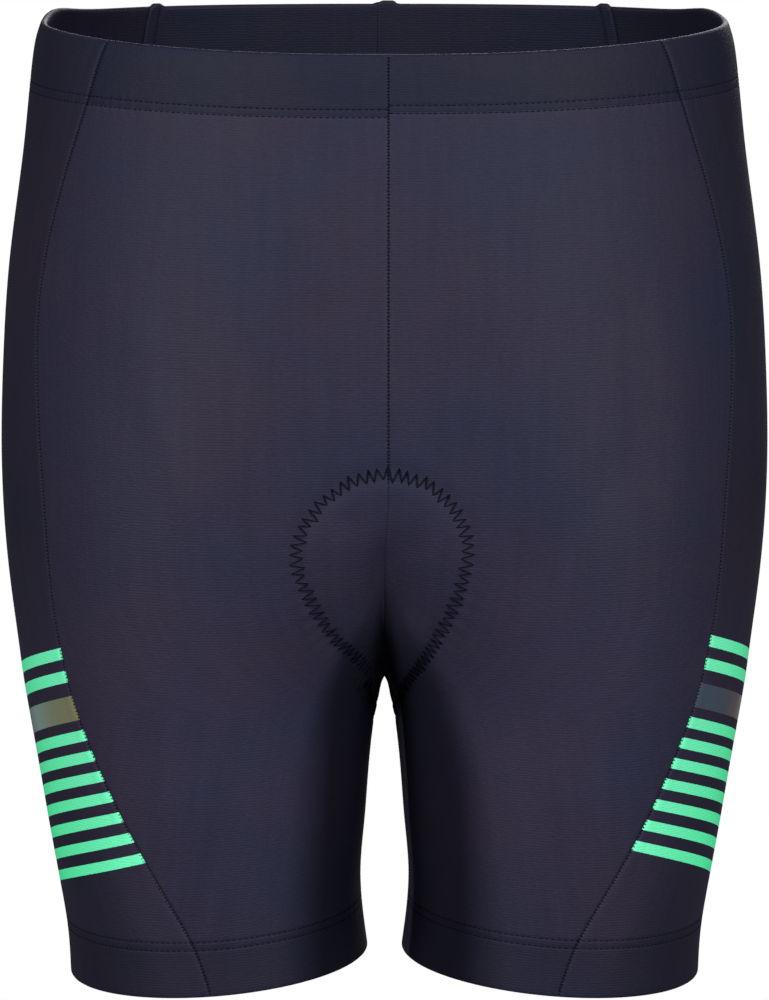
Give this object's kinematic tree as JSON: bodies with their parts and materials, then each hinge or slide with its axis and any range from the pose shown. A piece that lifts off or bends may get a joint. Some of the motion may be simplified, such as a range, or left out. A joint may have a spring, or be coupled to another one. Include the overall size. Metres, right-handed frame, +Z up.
{
  "type": "cycling shorts",
  "caption": "Close-fitting knit cycling shorts in worn form, open at waist and legs, with side panels, a turned waist casing, turned leg hems and a sewn-in seat pad.",
  "frame": {"origin": "middle of the waist, halfway down the elastic casing, where the wearer's waist holds the shorts", "axes": "+Z up along the body, +Y from front to back, +X to the wearer's left"},
  "size_m": [0.3578, 0.2449, 0.4513],
  "materials": {
    "knit": "soft sheen, fine crosswise ribs",
    "printed_knit": "soft sheen, printed stripes",
    "casing": "matte wrong side of the knit",
    "hem": "matte wrong side of the knit",
    "pad": "brushed fleece"
  },
  "bodies": {
    "root": {"front_left": "knit", "front_right": "knit", "side_left": "printed_knit", "side_right": "printed_knit", "back_left": "knit", "back_right": "knit", "waist_casing": "casing", "leg_hem_left": "hem", "leg_hem_right": "hem", "seat_pad": "pad"}
  },
  "joints": []
}
